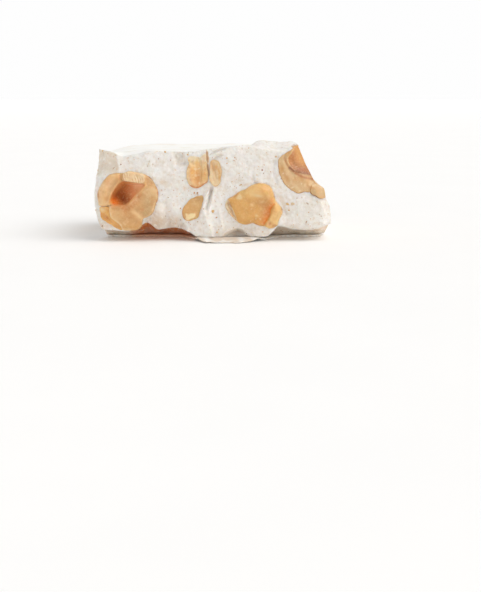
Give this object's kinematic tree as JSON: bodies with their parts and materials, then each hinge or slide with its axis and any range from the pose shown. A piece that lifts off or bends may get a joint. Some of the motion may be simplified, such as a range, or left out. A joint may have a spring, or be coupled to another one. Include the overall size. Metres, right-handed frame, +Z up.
{
  "type": "nougat slice",
  "caption": "Broken slice of hard white nougat with whole and broken hazelnuts, between two sheets of edible wafer, lying flat on its lower wafer.",
  "frame": {"origin": "middle of the whole's box, at the height of the underside of the lower wafer", "axes": "+Z up, -Y out of the broken front face that shows the hazelnuts, +X to the right seen from the front"},
  "size_m": [0.0534, 0.0406, 0.0224],
  "materials": {
    "nougat": "hard white nougat, matt, slightly translucent, finely pored broken surface",
    "wafer": "matt white edible wafer",
    "kernel": "roasted and skinned hazelnut kernel, satin, broken faces matt"
  },
  "bodies": {
    "root": {"nougat": "nougat", "wafer_top": "wafer", "wafer_bottom": "wafer", "nut_hollow": "kernel", "nut_hollow_chip": "kernel", "nut_split_left": "kernel", "nut_split_right": "kernel", "nut_small": "kernel", "nut_whole": "kernel", "nut_corner": "kernel", "nut_corner_chip": "kernel", "nut_left_1": "kernel", "nut_left_2": "kernel", "nut_left_3": "kernel", "nut_left_4": "kernel", "nut_right_1": "kernel", "nut_right_2": "kernel", "nut_right_3": "kernel", "nut_right_4": "kernel", "nut_back_1": "kernel", "nut_back_2": "kernel", "nut_back_3": "kernel", "nut_back_4": "kernel", "nut_back_5": "kernel"}
  },
  "joints": []
}
